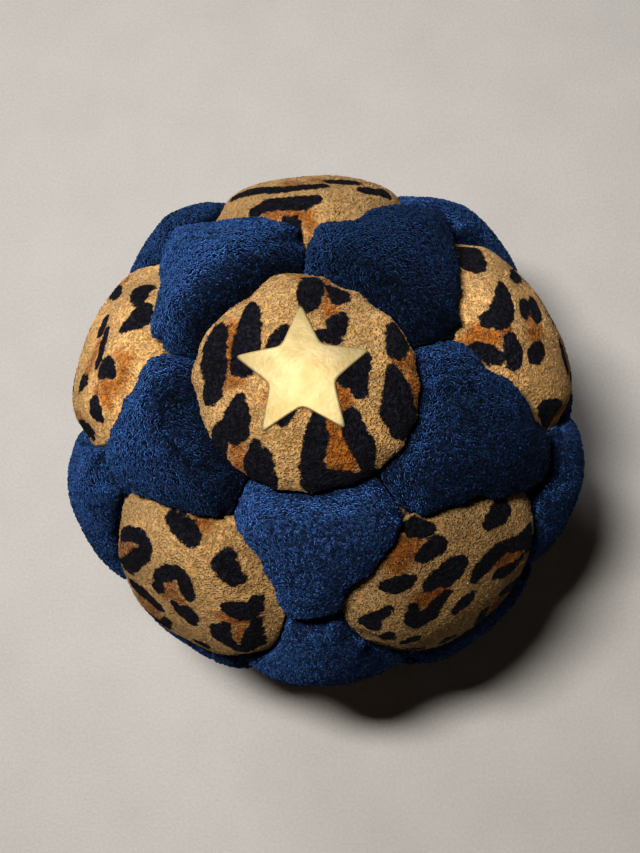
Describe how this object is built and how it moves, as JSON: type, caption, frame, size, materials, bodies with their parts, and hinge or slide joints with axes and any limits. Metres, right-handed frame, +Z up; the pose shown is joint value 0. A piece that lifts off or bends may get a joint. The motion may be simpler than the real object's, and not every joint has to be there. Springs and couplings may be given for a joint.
{
  "type": "footbag",
  "caption": "Round hand-sewn footbag of leopard-print and navy synthetic suede panels over a loose granule filling, with a small foil star on top, for kicking games.",
  "frame": {"origin": "on the ground under the middle of the ball", "axes": "+Z up through the leopard panel with the star, +Y towards the star's top tip"},
  "size_m": [0.0534, 0.0544, 0.054],
  "materials": {
    "leopard_suede": "napped synthetic suede with a printed leopard pattern",
    "navy_suede": "napped synthetic suede, dyed navy",
    "sewing_thread": "waxed thread",
    "granule_filling": "loose plastic granules",
    "gold_foil": "hot-pressed gold foil, slightly grainy"
  },
  "bodies": {
    "root": {"leopard_panel_top": "leopard_suede", "leopard_panel_upper_1": "leopard_suede", "leopard_panel_upper_2": "leopard_suede", "leopard_panel_upper_3": "leopard_suede", "leopard_panel_upper_4": "leopard_suede", "leopard_panel_upper_5": "leopard_suede", "leopard_panel_lower_1": "leopard_suede", "leopard_panel_lower_2": "leopard_suede", "leopard_panel_lower_3": "leopard_suede", "leopard_panel_lower_4": "leopard_suede", "leopard_panel_lower_5": "leopard_suede", "leopard_panel_bottom": "leopard_suede", "navy_panel_top_1": "navy_suede", "navy_panel_top_2": "navy_suede", "navy_panel_top_3": "navy_suede", "navy_panel_top_4": "navy_suede", "navy_panel_top_5": "navy_suede", "navy_panel_upper_1": "navy_suede", "navy_panel_upper_2": "navy_suede", "navy_panel_upper_3": "navy_suede", "navy_panel_upper_4": "navy_suede", "navy_panel_upper_5": "navy_suede", "navy_panel_lower_1": "navy_suede", "navy_panel_lower_2": "navy_suede", "navy_panel_lower_3": "navy_suede", "navy_panel_lower_4": "navy_suede", "navy_panel_lower_5": "navy_suede", "navy_panel_bottom_1": "navy_suede", "navy_panel_bottom_2": "navy_suede", "navy_panel_bottom_3": "navy_suede", "navy_panel_bottom_4": "navy_suede", "navy_panel_bottom_5": "navy_suede", "seam_thread": "sewing_thread", "filling": "granule_filling", "foil_star": "gold_foil"}
  },
  "joints": []
}
